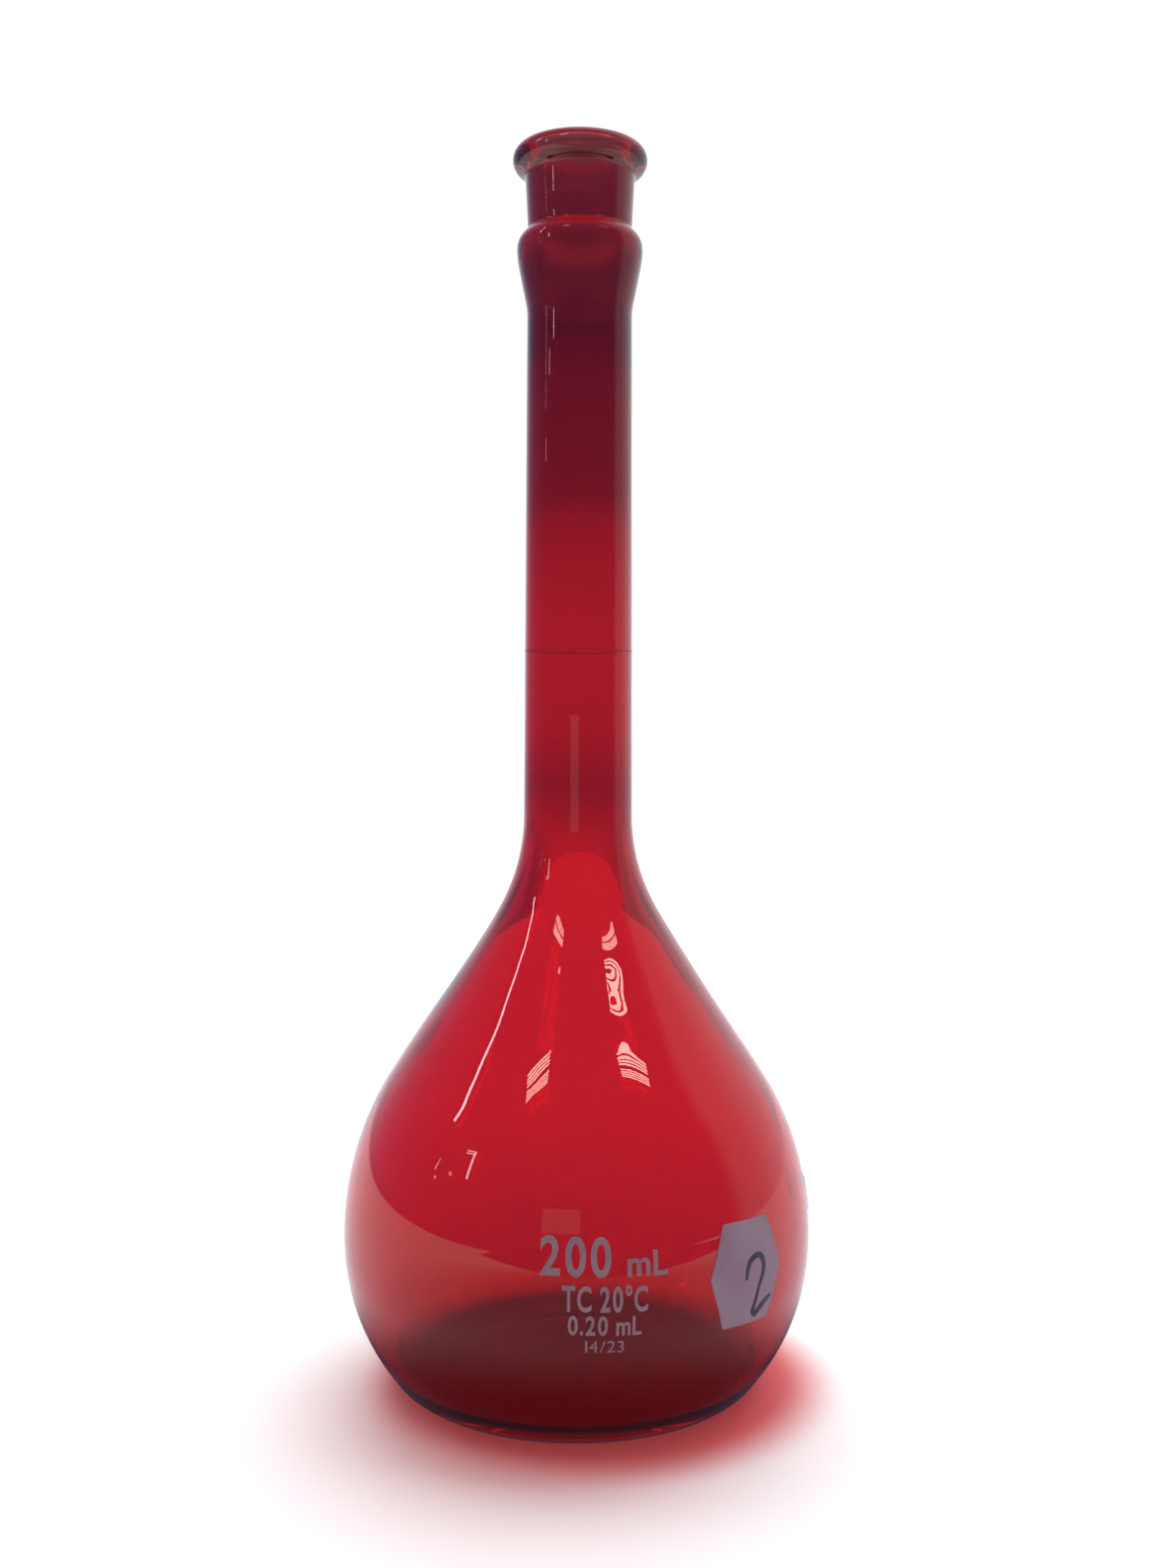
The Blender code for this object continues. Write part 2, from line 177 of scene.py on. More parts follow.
# Azimuth from -Y in degrees, and how much daylight there is against dusk
DAYLIGHT_ROUND = [(-170, 1.02), (-157, 0.94), (-149, 0.74), (-142, 0.52), (-136, 0.34), (-128, 0.20),
                  (-116, 0.09), (-100, 0.04), (-80, 0.0), (78, 0.0), (82, 0.10), (89, 0.55), (104, 0.58),
                  (118, 0.78), (134, 0.92), (150, 1.02)]
SOFTBOX_SIZE = (1.5, 1.1)
SOFTBOX_ENERGY = 18.5
SOFTBOX_PLACE = (0.10, 0.60, 1.05)
SOFTBOX_AIM = (0.0, 0.3, 0.0)

# --- Camera ----------------------------------------------------------------------------
CAMERA_DISTANCE = 0.2525
EYE_HEIGHT = 0.1060
FOCAL_SHARE = 1.0082           # focal length over the picture's height
CAMERA_PITCH = radians(2.45)
CAMERA_YAW = radians(0.27)
CAMERA_ROLL = radians(0.21)
SENSOR_HEIGHT = 36.0
CLIP_START = 0.01


# --- Small helpers -----------------------------------------------------------------------

def grey(value):
    return (value, value, value)


def between(first, second, share):
    """The colour at a share of the way from the first to the second."""
    return tuple(a + (b - a) * share for a, b in zip(first, second))


def around(azimuth, radius, height):
    """The point at an azimuth from -Y towards +X, a radius and a height."""
    return Vector((radius * sin(azimuth), -radius * cos(azimuth), height))


def new_material(name):
    """A material with an empty tree but its output, and the tree's nodes and links."""
    material = bpy.data.materials.new(name)
    material.use_nodes = True
    nodes = material.node_tree.nodes
    nodes.clear()
    output = nodes.new("ShaderNodeOutputMaterial")
    return material, nodes, material.node_tree.links, output


def add_node(nodes, kind, **settings):
    """A node with its settings."""
    node = nodes.new(kind)
    for key, value in settings.items():
        setattr(node, key, value)
    return node


def set_inputs(node, values):
    for key, value in values.items():
        node.inputs[key].default_value = value


def object_place(nodes):
    """The place of a spot on its object."""
    return add_node(nodes, "ShaderNodeTexCoord").outputs["Object"]


def noise_texture(nodes, links, scale, detail, vector):
    texture = add_node(nodes, "ShaderNodeTexNoise")
    set_inputs(texture, {"Scale": scale, "Detail": detail, "Roughness": NOISE_ROUGHNESS})
    links.new(vector, texture.inputs["Vector"])
    return texture.outputs["Fac"]


def ramp(nodes, links, factor, stops):
    """A colour ramp through (position, colour) stops."""
    node = add_node(nodes, "ShaderNodeValToRGB")
    elements = node.color_ramp.elements
    while len(elements) < len(stops):
        elements.new(0.5)
    for element, (position, colour) in zip(elements, stops):
        element.position = position
        element.color = (*colour, 1.0)
    links.new(factor, node.inputs["Fac"])
    return node.outputs["Color"]


def map_range(nodes, links, value, span, result=(0.0, 1.0), curve="SMOOTHSTEP"):
    """The value mapped from a span to a result, and held at its ends."""
    node = add_node(nodes, "ShaderNodeMapRange", interpolation_type=curve)
    set_inputs(node, {"From Min": span[0], "From Max": span[1], "To Min": result[0], "To Max": result[1]})
    links.new(value, node.inputs["Value"])
    return node.outputs["Result"]


def calculate(nodes, links, operation, first, second):
    """One step of arithmetic on a socket and a socket or a number."""
    node = add_node(nodes, "ShaderNodeMath", operation=operation)
    links.new(first, node.inputs[0])
    if isinstance(second, bpy.types.NodeSocket):
        links.new(second, node.inputs[1])
    else:
        node.inputs[1].default_value = second
    return node.outputs["Value"]


def mix_colours(nodes, links, factor, first, second, blend_type="MIX"):
    """Mix two colours, each a socket or a plain colour."""
    node = add_node(nodes, "ShaderNodeMix", data_type="RGBA", blend_type=blend_type)
    for socket, value in ((node.inputs[0], factor), (node.inputs[6], first), (node.inputs[7], second)):
        if isinstance(value, bpy.types.NodeSocket):
            links.new(value, socket)
        elif isinstance(value, tuple):
            socket.default_value = (*value, 1.0)
        else:
            socket.default_value = value
    return node.outputs[2]


# --- Materials ---------------------------------------------------------------------------

def make_glass_material(name, stained):
    """Clear borosilicate, or the same with the ruby stain that lies in its outer skin."""
    material, nodes, links, output = new_material(name)
    shader = add_node(nodes, "ShaderNodeBsdfPrincipled")
    passing = add_node(nodes, "ShaderNodeBsdfTransparent")
    place = object_place(nodes)
    split = add_node(nodes, "ShaderNodeSeparateXYZ")
    links.new(place, split.inputs["Vector"])
    smudges = map_range(nodes, links, noise_texture(nodes, links, *SMUDGE_NOISE, place), SMUDGE_RANGE,
                        (0.0, SMUDGE_ROUGHNESS))
    set_inputs(shader, {"IOR": GLASS_IOR, "Transmission Weight": 1.0})
    if stained:
        links.new(smudges, shader.inputs["Roughness"])
        links.new(stain_colour(nodes, links, place, split.outputs["Z"]), shader.inputs["Base Color"])
        foot = map_range(nodes, links, split.outputs["Z"], FOOT_SHADOW_RANGE)
        links.new(mix_colours(nodes, links, foot, FOOT_SHADOW_TINT, SHADOW_TINT), passing.inputs["Color"])
    else:
        low = map_range(nodes, links, split.outputs["Z"], GROUND_LOW)
        high = map_range(nodes, links, split.outputs["Z"], GROUND_HIGH)
        ground = calculate(nodes, links, "MULTIPLY", low, high)
        frosted = mix_colours(nodes, links, ground, smudges, grey(GROUND_ROUGHNESS))
        links.new(frosted, shader.inputs["Roughness"])
        set_inputs(shader, {"Base Color": (*CLEAR_TINT, 1.0)})
        set_inputs(passing, {"Color": (*CLEAR_TINT, 1.0)})
    either = add_node(nodes, "ShaderNodeMixShader")
    links.new(add_node(nodes, "ShaderNodeLightPath").outputs["Is Shadow Ray"], either.inputs["Fac"])
    links.new(shader.outputs["BSDF"], either.inputs[1])
    links.new(passing.outputs["BSDF"], either.inputs[2])
    links.new(either.outputs["Shader"], output.inputs["Surface"])
    return material


def stain_colour(nodes, links, place, height):
    """The stain's red, deeper up the neck and round the socket, and a little cloudy."""
    tint = mix_colours(nodes, links, map_range(nodes, links, height, TINT_RANGE), BULB_TINT, NECK_TINT)
    tint = mix_colours(nodes, links, map_range(nodes, links, height, TOP_TINT_RANGE), tint, TOP_TINT)
    cloud = noise_texture(nodes, links, *CLOUD_NOISE, place)
    patch = ramp(nodes, links, cloud, [(0.3, grey(CLOUD_DIMMEST)), (0.7, grey(1.0))])
    return mix_colours(nodes, links, 1.0, tint, patch, "MULTIPLY")


def make_mottled_material(name, stops, values, mottle, grain=None):
    """A plain surface whose colour wanders between two shades, with or without a fine grain.

    The mottle is a noise's scale and detail.  The grain has its bump's strength and depth
    after them.
    """
    material, nodes, links, output = new_material(name)
    shader = add_node(nodes, "ShaderNodeBsdfPrincipled")
    set_inputs(shader, values)
    place = object_place(nodes)
    colour = ramp(nodes, links, noise_texture(nodes, links, *mottle, place), stops)
    links.new(colour, shader.inputs["Base Color"])
    if grain:
        scale, detail, strength, depth = grain
        relief = add_node(nodes, "ShaderNodeBump")
        set_inputs(relief, {"Strength": strength, "Distance": depth})
        links.new(noise_texture(nodes, links, scale, detail, place), relief.inputs["Height"])
        links.new(relief.outputs["Normal"], shader.inputs["Normal"])
    links.new(shader.outputs["BSDF"], output.inputs["Surface"])
    return material


def make_enamel_material():
    """Fired white enamel, thin and a little uneven, with painted shade: given a dark mauve for its shade and
    the red light through the glass behind it.
    """
    # painted shade and red backlight: the white enamel's colour is set dark mauve
    shades = [(0.25, (0.20, 0.105, 0.13)), (0.75, (0.27, 0.165, 0.19))]
    return make_mottled_material("fired_enamel", shades, {"Roughness": 0.45, "IOR": 1.5},
                                 mottle=(240.0, 3.0), grain=(1500.0, 3.0, 0.35, 0.00002))


def make_line_material():
    """The fill line's stain, a darker brown than the print."""
    shades = [(0.3, (0.055, 0.012, 0.018)), (0.7, (0.095, 0.022, 0.028))]
    return make_mottled_material("fill_line_stain", shades, {"Roughness": 0.5, "Alpha": 0.35},
                                 mottle=(300.0, 2.0))


def make_label_material():
    """Matt paper, unevenly faded, with a fine fibre grain."""
    shades = [(0.3, (0.225, 0.135, 0.185)), (0.7, (0.265, 0.175, 0.225))]
    return make_mottled_material("label_paper", shades, {"Roughness": 0.78, "IOR": 1.45},
                                 mottle=(130.0, 3.0), grain=(2600.0, 4.0, 0.5, 0.00003))


def make_ink_material():
    """Dry marker ink that has sunk into the paper unevenly."""
    shades = [(0.3, (0.022, 0.014, 0.024)), (0.75, (0.07, 0.045, 0.065))]
    return make_mottled_material("marker_ink", shades, {"Roughness": 0.6, "IOR": 1.45}, mottle=(900.0, 4.0))


# --- The outline of the glass, read from the frame ------------------------------------------

def cad_outline(node):
    """The (radius, height) points of a turned CAD node, from under the base, up and back down inside."""
    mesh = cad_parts[node].data
    keys = {}
    for vert in mesh.vertices:
        if abs(vert.co.y) < MESH_TOLERANCE and vert.co.x > -MESH_TOLERANCE:
            keys[vert.index] = (round(vert.co.x, 6), round(vert.co.z, 6))
    joined = {}
    for edge in mesh.edges:
        first, second = (keys.get(i) for i in edge.vertices)
        if first and second and first != second:
            joined.setdefault(first, set()).add(second)
            joined.setdefault(second, set()).add(first)
    start = min((key for key in joined if key[0] < MESH_TOLERANCE), key=lambda key: key[1])
    outline = [start]
    previous = None
    while True:
        ahead = [key for key in joined[outline[-1]] if key != previous and key not in outline]
        if not ahead:
            return [Vector(point) for point in outline]
        previous = outline[-1]
        outline.append(ahead[0])


def smooth_outline(points, step_length):
    """A smooth curve through the points, with sharp bends and straight runs kept."""
    chords = [second - first for first, second in zip(points, points[1:])]
    curve = [points[0]]
    for i, chord in enumerate(chords):
        start = end_tangent(chords[i - 1] if i else None, chord)
        end = end_tangent(chords[i + 1] if i + 1 < len(chords) else None, chord)
        steps = max(LEAST_STEPS, ceil(chord.length / step_length))
        for k in range(1, steps + 1):
            t = k / steps
            curve.append(points[i] * (1 + 2 * t) * (1 - t) ** 2 + start * t * (1 - t) ** 2
                         + points[i + 1] * t * t * (3 - 2 * t) + end * t * t * (t - 1))
    return curve


def end_tangent(neighbour, chord):
    """The curve's direction where a chord meets its neighbour, as long as the chord."""
    if neighbour is None or neighbour.angle(chord) > CORNER_ANGLE:
        return chord.copy()
    if chord.length > STRAIGHT_RATIO * neighbour.length:
        return chord.copy()
    if neighbour.length > STRAIGHT_RATIO * chord.length:
        return neighbour.normalized() * chord.length
    bisector = neighbour / neighbour.length ** 2 + chord / chord.length ** 2
    return bisector.normalized() * chord.length


def outline_normal(outline, i):
    """The direction out of the glass at a point of the outline."""
    ahead = outline[min(i + 1, len(outline) - 1)] - outline[max(i - 1, 0)]
    return Vector((ahead.y, -ahead.x)).normalized()


# --- The glass -------------------------------------------------------------------------------

def bell(value, middle, reach):
    """A smooth hump: 1 at the middle, fading over the reach."""
    return exp(-((value - middle) / reach) ** 2 / 2)


def ripple(point, inside):
    """How far the blown wall wanders from the true outline at a point."""
    if inside:
        return INNER_RIPPLE * noise.noise(point / RIPPLE_LENGTH + Vector(INNER_RIPPLE_START))
    offset = OUTER_RIPPLE * noise.noise(point / RIPPLE_LENGTH)
    share = FLANK_SHARE[0] + FLANK_SHARE[1] * point.x / max(point.xy.length, LEAST_RADIUS)
    height, reach, size = FLANK_WAVE
    offset -= share * size * (point.z - height) / reach * bell(point.z, height, reach)
    height, reach, size = FLANK_RIDGE
    offset += share * size * bell(point.z, height, reach)
    height, reach, size = FLANK_HOLLOW
    offset += size * bell(point.z, height, reach)
    height, reach, size = TOOL_RIPPLE
    fine = Vector((point.x * TOOL_RIPPLE_ROUND, point.y * TOOL_RIPPLE_ROUND, point.z)) / TOOL_RIPPLE_LENGTH
    return offset + size * noise.noise(fine) * bell(point.z, height, reach)


def build_glass():
    """The blown flask: the CAD outline made smooth, turned, and given its slight ripple."""
    corners = cad_outline("flask_body")
    top = max(point.y for point in corners)
    rim = max(i for i, point in enumerate(corners) if point.y > top - MESH_TOLERANCE)
    outline = smooth_outline(corners, STEP_LENGTH)
    rim_step = min(range(len(outline)), key=lambda i: (outline[i] - corners[rim]).length)
    bm = bmesh.new()
    rings = [turned_ring(bm, outline, i, i > rim_step) for i in range(len(outline))]
    for i, (lower, upper) in enumerate(zip(rings, rings[1:])):
        for face in ring_faces(bm, lower, upper):
            face.material_index = 1 if i >= rim_step else 0
            face.smooth = True
    mesh = bpy.data.meshes.new("ruby_flask")
    bm.to_mesh(mesh)
    bm.free()
    mesh.set_sharp_from_angle(angle=CORNER_ANGLE)
    mesh.materials.append(make_glass_material("ruby_stained_glass", True))
    mesh.materials.append(make_glass_material("clear_inner_glass", False))
    flask = bpy.data.objects.new("ruby_flask", mesh)
    bpy.context.collection.objects.link(flask)
    return flask, outline[:rim_step]


def turned_ring(bm, outline, i, inside):
    """The vertices round the axis at a point of the outline: one, where it is on the axis."""
    radius, height = outline[i]
    if radius < MESH_TOLERANCE:
        return [bm.verts.new((0.0, 0.0, height))]
    normal = outline_normal(outline, i)
    calm = 0.0 if height < GROUND_TOLERANCE else min(1.0, radius / CALM_RADIUS)
    ring = []
    for k in range(GLASS_SEGMENTS):
        turn = 2 * pi * k / GLASS_SEGMENTS
        point = Vector((radius * cos(turn), radius * sin(turn), height))
        outward = Vector((normal.x * cos(turn), normal.x * sin(turn), normal.y))
        shift = ripple(point, inside) * calm
        ring.append(bm.verts.new(point + outward * shift))
    return ring


def ring_faces(bm, lower, upper):
    """Faces between two rings of the turned body; a ring of one vertex is a pole."""
    faces = []
    for k in range(GLASS_SEGMENTS):
        following = (k + 1) % GLASS_SEGMENTS
        if len(lower) == 1:
            faces.append(bm.faces.new((lower[0], upper[following], upper[k])))
        elif len(upper) == 1:
            faces.append(bm.faces.new((lower[k], lower[following], upper[0])))
        else:
            faces.append(bm.faces.new((lower[k], lower[following], upper[following], upper[k])))
    return faces


class Surface:
    """The outside of the bulb and neck, for laying marks on the glass."""

    def __init__(self, outline):
        widest = max(outline, key=lambda point: point.x)
        self.points = [point for point in outline if point.y > MARK_LOWEST]
        self.lengths = [0.0]
        for first, second in zip(self.points, self.points[1:]):
            self.lengths.append(self.lengths[-1] + (second - first).length)
        self.zero = self.lengths[self.points.index(widest)]
        self.equator_radius = widest.x

    def climb_at(self, height):
        """Distance along the outline from the widest point to a height."""
        for i in range(len(self.points) - 1):
            first, second = self.points[i], self.points[i + 1]
            if first.y <= height <= second.y:
                share = (height - first.y) / max(second.y - first.y, MESH_TOLERANCE)
                return self.lengths[i] + share * (self.lengths[i + 1] - self.lengths[i]) - self.zero
        raise ValueError(f"no outline at height {height}")

    def at(self, azimuth, climb, out):
        """The point `out` above the glass, at an azimuth from -Y and a climb from the widest point."""
        target = climb + self.zero
        i = 0
        while i < len(self.lengths) - 2 and self.lengths[i + 1] < target:
            i += 1
        share = (target - self.lengths[i]) / (self.lengths[i + 1] - self.lengths[i])
        spot = self.points[i].lerp(self.points[i + 1], share)
        normal = outline_normal(self.points, i).lerp(outline_normal(self.points, i + 1), share)
        raised = around(azimuth, spot.x + normal.x * out, spot.y + normal.y * out)
        shift = ripple(around(azimuth, spot.x, spot.y), False)
        return raised + around(azimuth, normal.x, normal.y) * shift

    def unwrap(self, point):
        """The (right, up) place of a point near the bulb: arc at the equator's radius, and climb."""
        return (atan2(point.x, -point.y) * self.equator_radius, self.climb_at(point.z))


# --- Marks -----------------------------------------------------------------------------------

def node_patch(surface, node):
    """A mark's CAD solid, unrolled: its lowest and highest (right, up)."""
    spots = [surface.unwrap(vert.co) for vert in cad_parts[node].data.vertices]
    rights, ups = zip(*spots)
    return (min(rights), min(ups)), (max(rights), max(ups))


def finish_piece(name, bm, material, node, smooth=True):
    """Put a piece in the scene in the place of a CAD node."""
    mesh = bpy.data.meshes.new(name)
    bm.to_mesh(mesh)
    bm.free()
    if smooth:
        mesh.shade_smooth()
        mesh.set_sharp_from_angle(angle=EDGE_ANGLE)
    mesh.materials.append(material)
    piece = bpy.data.objects.new(name, mesh)
    bpy.context.collection.objects.link(piece)
    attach(piece, "root")
    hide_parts(node)


def flat_figure(character, weight):
    """One figure of the built-in font, 1 thick and cut into strips each way."""
    outline = bpy.data.curves.new("figure", "FONT")
    outline.body = character
    outline.extrude = 0.5
    outline.offset = weight
    outline.resolution_u = FIGURE_RESOLUTION
    holder = bpy.data.objects.new("figure", outline)
    bpy.context.collection.objects.link(holder)
    evaluated = holder.evaluated_get(bpy.context.evaluated_depsgraph_get())
    mesh = bpy.data.meshes.new_from_object(evaluated)
    bpy.data.objects.remove(holder)
    bm = bmesh.new()
    bm.from_mesh(mesh)
    bpy.data.meshes.remove(mesh)
    bmesh.ops.remove_doubles(bm, verts=bm.verts, dist=FIGURE_WELD)
    for axis, normal in enumerate((Vector((1.0, 0.0, 0.0)), Vector((0.0, 1.0, 0.0)))):
        low = min(vert.co[axis] for vert in bm.verts)
        high = max(vert.co[axis] for vert in bm.verts)
        for k in range(1, FIGURE_STRIPS):
            cut = normal * (low + (high - low) * k / FIGURE_STRIPS)
            geometry = list(bm.verts) + list(bm.edges) + list(bm.faces)
            bmesh.ops.bisect_plane(bm, geom=geometry, dist=MESH_TOLERANCE, plane_co=cut, plane_no=normal)
    return bm


def lay_figure(surface, node, enamel):
    """A printed figure, fired flat on the glass where its CAD solid is."""
    sign = node.rsplit("_", 1)[1]
    weight = 0.0 if node.startswith("socket_size") else FIGURE_WEIGHT
    bm = flat_figure(FIGURE_SIGNS.get(sign, sign), weight)
    low, high = node_patch(surface, node)
    left = min(vert.co.x for vert in bm.verts)
    right = max(vert.co.x for vert in bm.verts)
    bottom = min(vert.co.y for vert in bm.verts)
    top = max(vert.co.y for vert in bm.verts)
    for vert in bm.verts:
        across = low[0] + (high[0] - low[0]) * (vert.co.x - left) / (right - left)
        up = low[1] + (high[1] - low[1]) * (vert.co.y - bottom) / (top - bottom)
        out = ENAMEL_LIFT + (vert.co.z + 0.5) * ENAMEL_THICKNESS
        vert.co = surface.at(across / surface.equator_radius, up, out)
    finish_piece("print_" + node, bm, enamel, node, smooth=False)


def build_ring(surface, stain):
    """The fill line: a thin band fired on all round the neck."""
    low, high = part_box("graduation_ring")
    middle = surface.climb_at((low[2] + high[2]) / 2)
    bottom = middle - FILL_LINE_WIDTH / 2
    top = middle + FILL_LINE_WIDTH / 2
    section = [(bottom, ENAMEL_LIFT), (bottom, ENAMEL_LIFT + ENAMEL_THICKNESS),
               (top, ENAMEL_LIFT + ENAMEL_THICKNESS), (top, ENAMEL_LIFT)]
    bm = bmesh.new()
    rings = []
    for k in range(GLASS_SEGMENTS):
        azimuth = 2 * pi * k / GLASS_SEGMENTS
        rings.append([bm.verts.new(surface.at(azimuth, climb, out)) for climb, out in section])
    for first, second in zip(rings, rings[1:] + rings[:1]):
        join_sections(bm, first, second)
    bmesh.ops.recalc_face_normals(bm, faces=bm.faces)
    finish_piece("fill_line", bm, stain, "graduation_ring")


def join_sections(bm, first, second):
    """Faces all round between two sections of a band or a stroke."""
    for i in range(len(first)):
        j = (i + 1) % len(first)
        bm.faces.new((first[i], second[i], second[j], first[j]))


def label_middle(surface):
    low, high = node_patch(surface, "label")
    return (low[0] + high[0]) / 2, (low[1] + high[1]) / 2


def build_label(surface, paper):
    """The six-sided sticker, bent round the bulb."""
    middle = label_middle(surface)
    bm = bmesh.new()
    bmesh.ops.create_grid(bm, x_segments=LABEL_GRID[0], y_segments=LABEL_GRID[1], size=1.0)
    for vert in bm.verts:
        side = min(1.0, (1.0 - abs(vert.co.x)) / (1.0 - LABEL_EDGE_SHARE))
        vert.co = Vector((vert.co.x * LABEL_WIDTH / 2, vert.co.y * side * LABEL_TALL / 2, 0.0))
    bmesh.ops.remove_doubles(bm, verts=bm.verts, dist=MESH_TOLERANCE)
    lifted = bmesh.ops.extrude_face_region(bm, geom=list(bm.faces))["geom"]
    for item in lifted:
        if isinstance(item, bmesh.types.BMVert):
            item.co.z += LABEL_THICKNESS
    for vert in bm.verts:
        across = vert.co.x * cos(LABEL_LEAN) - vert.co.y * sin(LABEL_LEAN)
        up = vert.co.x * sin(LABEL_LEAN) + vert.co.y * cos(LABEL_LEAN)
        out = LABEL_LIFT + vert.co.z
        vert.co = surface.at((middle[0] + across) / surface.equator_radius, middle[1] + up, out)
    bmesh.ops.recalc_face_normals(bm, faces=bm.faces)
    finish_piece("sticker", bm, paper, "label")


def build_ink(surface, ink):
    """The hand-drawn 2: one stroke of a marker, wider where it slows down."""
    middle = label_middle(surface)
    path = smooth_outline([Vector(knot) for knot in INK_STROKE], INK_STEP)
    bottom = LABEL_LIFT + LABEL_THICKNESS + INK_LIFT
    top = bottom + INK_THICKNESS
    bm = bmesh.new()
    sections = []
    for i, knot in enumerate(path):
        ahead = path[min(i + 1, len(path) - 1)] - path[max(i - 1, 0)]
        side = Vector((-ahead.y, ahead.x)).normalized() * knot.z
        section = []
        for share, out in ((-1, bottom), (-1, top), (0, top), (1, top), (1, bottom)):
            right = middle[0] + knot.x + side.x * share
            up = middle[1] + knot.y + side.y * share
            section.append(bm.verts.new(surface.at(right / surface.equator_radius, up, out)))
        sections.append(section)
    for first, second in zip(sections, sections[1:]):
        join_sections(bm, first, second)
    bm.faces.new(sections[0])
    bm.faces.new(sections[-1])
    bmesh.ops.recalc_face_normals(bm, faces=bm.faces)
    finish_piece("drawn_2", bm, ink, "label_figure_2")


# --- Surroundings ------------------------------------------------------------------------------

def stage_object(name, bm, material, **rays):
    """An object of the surroundings, with the kinds of ray that it hides from."""
    mesh = bpy.data.meshes.new(name)
    bm.to_mesh(mesh)
    bm.free()
    mesh.materials.append(material)
    piece = bpy.data.objects.new(name, mesh)
    bpy.context.collection.objects.link(piece)
    for ray, seen in rays.items():
        setattr(piece, "visible_" + ray, seen)
    return piece


def emission_material(name, colour, strength):
    material, nodes, links, output = new_material(name)
    glow = add_node(nodes, "ShaderNodeEmission")
    set_inputs(glow, {"Color": (*colour, 1.0), "Strength": strength})
    links.new(glow.outputs["Emission"], output.inputs["Surface"])
    return material


def table_disc():
    bm = bmesh.new()
    bmesh.ops.create_circle(bm, cap_ends=True, segments=TABLE_SEGMENTS, radius=TABLE_RADIUS)
    return bm


def distance_from(nodes, links, point):
    """How far a spot is from a point."""
    distance = add_node(nodes, "ShaderNodeVectorMath", operation="DISTANCE")
    links.new(object_place(nodes), distance.inputs[0])
    distance.inputs[1].default_value = point
    return distance.outputs["Value"]


def build_table():
    """A white table top, evenly bright away from the flask with painted light of its own, and with a painted
    red glow round its foot.
    """
    material, nodes, links, output = new_material("white_table")
    shader = add_node(nodes, "ShaderNodeBsdfPrincipled")
    set_inputs(shader, {"Roughness": 0.6, "Specular IOR Level": 0.2, "Emission Color": (1.0, 1.0, 1.0, 1.0)})
    # painted red glow: the table's colour turns red round the flask's foot
    glow = map_range(nodes, links, distance_from(nodes, links, PAINTED_GLOW_MIDDLE), PAINTED_GLOW_RANGE)
    links.new(mix_colours(nodes, links, glow, PAINTED_FOOT_GLOW, TABLE_WHITE), shader.inputs["Base Color"])
    # painted light: the table glows, faintly near the flask and more strongly away from it
    away = distance_from(nodes, links, (0.0, 0.0, 0.0))
    painted_table_light = map_range(nodes, links, away, PAINTED_LIGHT_RANGE, PAINTED_LIGHT_STRENGTH)
    links.new(painted_table_light, shader.inputs["Emission Strength"])
    links.new(shader.outputs["BSDF"], output.inputs["Surface"])
    table = stage_object("table_top", table_disc(), material, glossy=False)
    table.location.z = TABLE_HEIGHT


def build_table_reflection():
    """The table as the glass reflects it, dimmer near the flask and where the viewer shades it."""
    material, nodes, links, output = new_material("table_reflection")
    glow = add_node(nodes, "ShaderNodeEmission")
    wide = map_range(nodes, links, distance_from(nodes, links, TABLE_SHADE), TABLE_SHADE_RANGE)
    near = map_range(nodes, links, distance_from(nodes, links, (0.0, 0.0, 0.0)), FOOT_SHADE_RANGE)
    table = mix_colours(nodes, links, wide, TABLE_SHADED, TABLE_OPEN)
    links.new(mix_colours(nodes, links, near, FOOT_SHADE, table), glow.inputs["Color"])
    links.new(glow.outputs["Emission"], output.inputs["Surface"])
    reflection = stage_object("table_reflection", table_disc(), material, **ONLY_REFLECTED)
    reflection.location.z = REFLECTION_HEIGHT


def build_sheet_edge():
    """The dark in front of the white sheet's near edge, which only shows in the glass."""
    left, right = SHEET_SIDES
    corners = [(left, SHEET_CROSSING + left * SHEET_SLOPE), (right, SHEET_CROSSING + right * SHEET_SLOPE),
               (DARK_SIDES[1], DARK_FRONT), (DARK_SIDES[0], DARK_FRONT)]
    bm = bmesh.new()
    bm.faces.new([bm.verts.new((x, y, SHEET_HEIGHT)) for x, y in corners])
    stage_object("sheet_edge", bm, emission_material("sheet_edge", ROOM_DUSK, 1.0), **ONLY_REFLECTED)


def build_lamp(name, corners, bars, strength, colour):
    """A lamp that shows in the glass, with bars of light from its first edge to its second.

    The corners are (azimuth, elevation) in degrees: the first edge's two ends, then the
    second edge's.  With more than two bars, the middle one is left out.
    """
    ends = []
    for azimuth, elevation in corners:
        rise = radians(elevation)
        ends.append(around(radians(azimuth), cos(rise), sin(rise)) * LAMP_DISTANCE)
    bm = bmesh.new()
    for i in range(bars):
        if bars > 2 and i == bars // 2:
            continue
        low = i / bars
        high = (i + (BAR_SHARE if bars > 1 else 1.0)) / bars
        points = [ends[0].lerp(ends[2], low), ends[1].lerp(ends[3], low),
                  ends[1].lerp(ends[3], high), ends[0].lerp(ends[2], high)]
        bm.faces.new([bm.verts.new(point) for point in points])
    material = emission_material(name, colour, strength)
    stage_object(name, bm, material, camera=False, diffuse=False, shadow=False)


def build_card():
    """A pale card beside the viewpoint, which only shows in the glass."""
    bm = bmesh.new()
    bm.faces.new([bm.verts.new((x, CARD_DEPTH, z)) for x, z in CARD_CORNERS])
    stage_object("pale_card", bm, emission_material("pale_card", CARD_COLOUR, 1.0), **ONLY_REFLECTED)


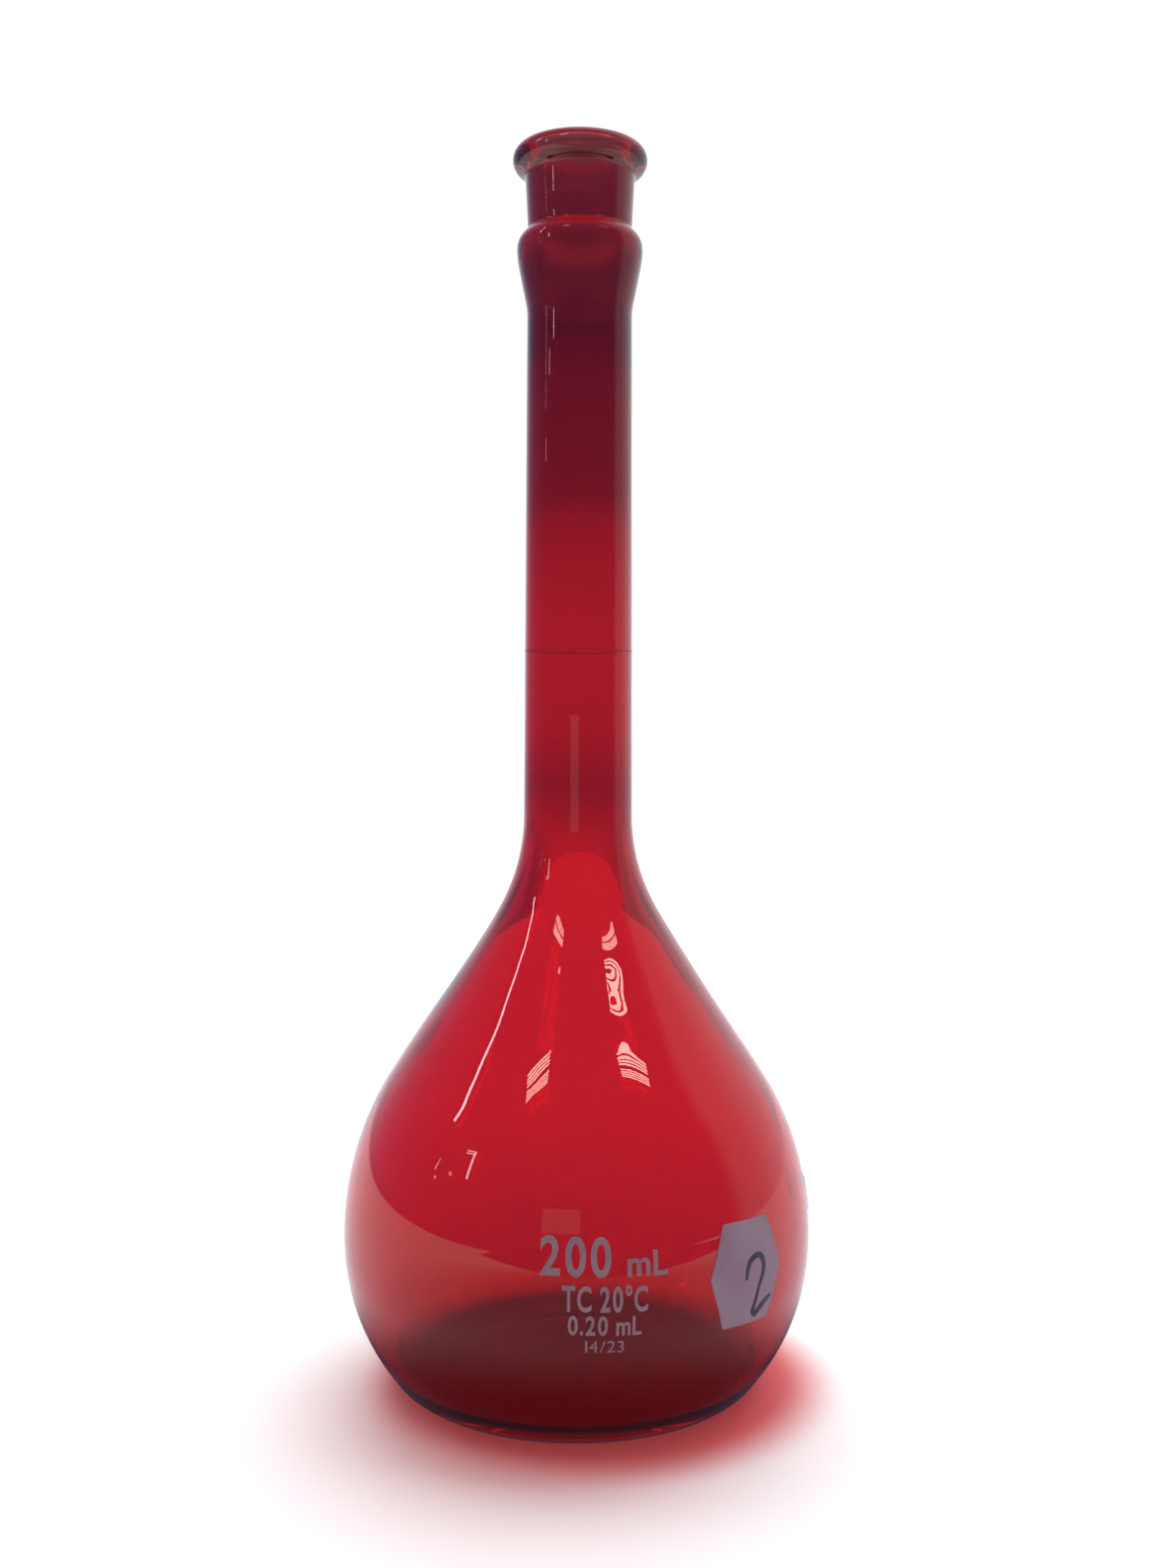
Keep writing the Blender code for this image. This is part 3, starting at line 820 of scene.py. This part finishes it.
def build_world():
    """Pale surroundings: plain white to the eye, uneven through the glass, half dark reflected in it."""
    world = bpy.data.worlds.new("pale_surroundings")
    bpy.context.scene.world = world
    world.use_nodes = True
    nodes, links = world.node_tree.nodes, world.node_tree.links
    nodes.clear()
    output = add_node(nodes, "ShaderNodeOutputWorld")
    background = add_node(nodes, "ShaderNodeBackground")
    ray = add_node(nodes, "ShaderNodeLightPath")
    place = add_node(nodes, "ShaderNodeTexCoord").outputs["Generated"]
    split = add_node(nodes, "ShaderNodeSeparateXYZ")
    links.new(place, split.inputs["Vector"])
    behind = map_range(nodes, links, split.outputs["Y"], BEHIND_RANGE)
    beside = height_band(nodes, links, split, BESIDE_LEAST)
    seen_through = mix_colours(nodes, links, behind, beside, height_band(nodes, links, split, 0.0))
    reflected = room_round(nodes, links, split, ROOM_DUSK)
    falling = room_round(nodes, links, split, ROOM_LIGHT)
    colour = mix_colours(nodes, links, ray.outputs["Is Diffuse Ray"], reflected, falling)
    colour = mix_colours(nodes, links, ray.outputs["Is Transmission Ray"], colour, seen_through)
    colour = mix_colours(nodes, links, ray.outputs["Is Camera Ray"], colour, grey(PAGE_WHITE))
    links.new(colour, background.inputs["Color"])
    links.new(background.outputs["Background"], output.inputs["Surface"])


def height_band(nodes, links, split, least):
    """How bright the backdrop is by height, and at least so bright up to the bright band's top."""
    low, high = BACKDROP[0][0], BACKDROP[-1][0]
    height = map_range(nodes, links, split.outputs["Z"], (low, high), curve="LINEAR")
    stops = []
    for level, value in BACKDROP:
        brightness = max(value, least if level < BESIDE_TOP else 0.0)
        stops.append(((level - low) / (high - low), grey(brightness)))
    return ramp(nodes, links, height, stops)


def room_round(nodes, links, split, dusk):
    """How bright the room is all round: white behind the flask, dimmer in front of it."""
    back = calculate(nodes, links, "MULTIPLY", split.outputs["Y"], -1.0)
    turn = calculate(nodes, links, "ARCTAN2", split.outputs["X"], back)
    azimuth = map_range(nodes, links, turn, (-pi, pi), curve="LINEAR")
    stops = [((degrees + 180.0) / 360.0, between(dusk, DAYLIGHT, share)) for degrees, share in DAYLIGHT_ROUND]
    return ramp(nodes, links, azimuth, stops)


def build_light():
    """One large soft light above and behind the flask."""
    light = bpy.data.lights.new("overhead_softbox", "AREA")
    light.shape = "RECTANGLE"
    light.size, light.size_y = SOFTBOX_SIZE
    light.energy = SOFTBOX_ENERGY
    lamp = bpy.data.objects.new("overhead_softbox", light)
    bpy.context.collection.objects.link(lamp)
    lamp.location = SOFTBOX_PLACE
    lamp.rotation_euler = (Vector(SOFTBOX_AIM) - lamp.location).to_track_quat("-Z", "Y").to_euler()
    lamp.visible_camera = False
    lamp.visible_glossy = False
    lamp.visible_transmission = False


def build_camera():
    """The viewpoint: close, a little below the neck's fill line, looking slightly down."""
    camera = bpy.data.cameras.new("camera")
    camera.sensor_fit = "VERTICAL"
    camera.sensor_height = SENSOR_HEIGHT
    camera.lens = SENSOR_HEIGHT * FOCAL_SHARE
    camera.clip_start = CLIP_START
    viewer = bpy.data.objects.new("camera", camera)
    bpy.context.collection.objects.link(viewer)
    viewer.location = (0.0, -CAMERA_DISTANCE, EYE_HEIGHT)
    turn = Matrix.Rotation(-CAMERA_YAW, 3, "Z") @ Matrix.Rotation(pi / 2 - CAMERA_PITCH, 3, "X")
    viewer.rotation_euler = (turn @ Matrix.Rotation(CAMERA_ROLL, 3, "Z")).to_euler()
    bpy.context.scene.camera = viewer


# --- Assembly --------------------------------------------------------------------------------------

build_camera()
flask, outside = build_glass()
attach(flask, "root")
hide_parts("flask_body")
surface = Surface(outside)
enamel_material = make_enamel_material()
build_ring(surface, make_line_material())
for node_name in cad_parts:
    if node_name.split("_")[0] in PRINTED_LINES:
        lay_figure(surface, node_name, enamel_material)
build_label(surface, make_label_material())
build_ink(surface, make_ink_material())

build_table()
build_table_reflection()
build_sheet_edge()
for lamp_settings in LAMPS:
    build_lamp(*lamp_settings)
build_card()
build_world()
build_light()

bpy.context.scene.view_settings.view_transform = "Standard"
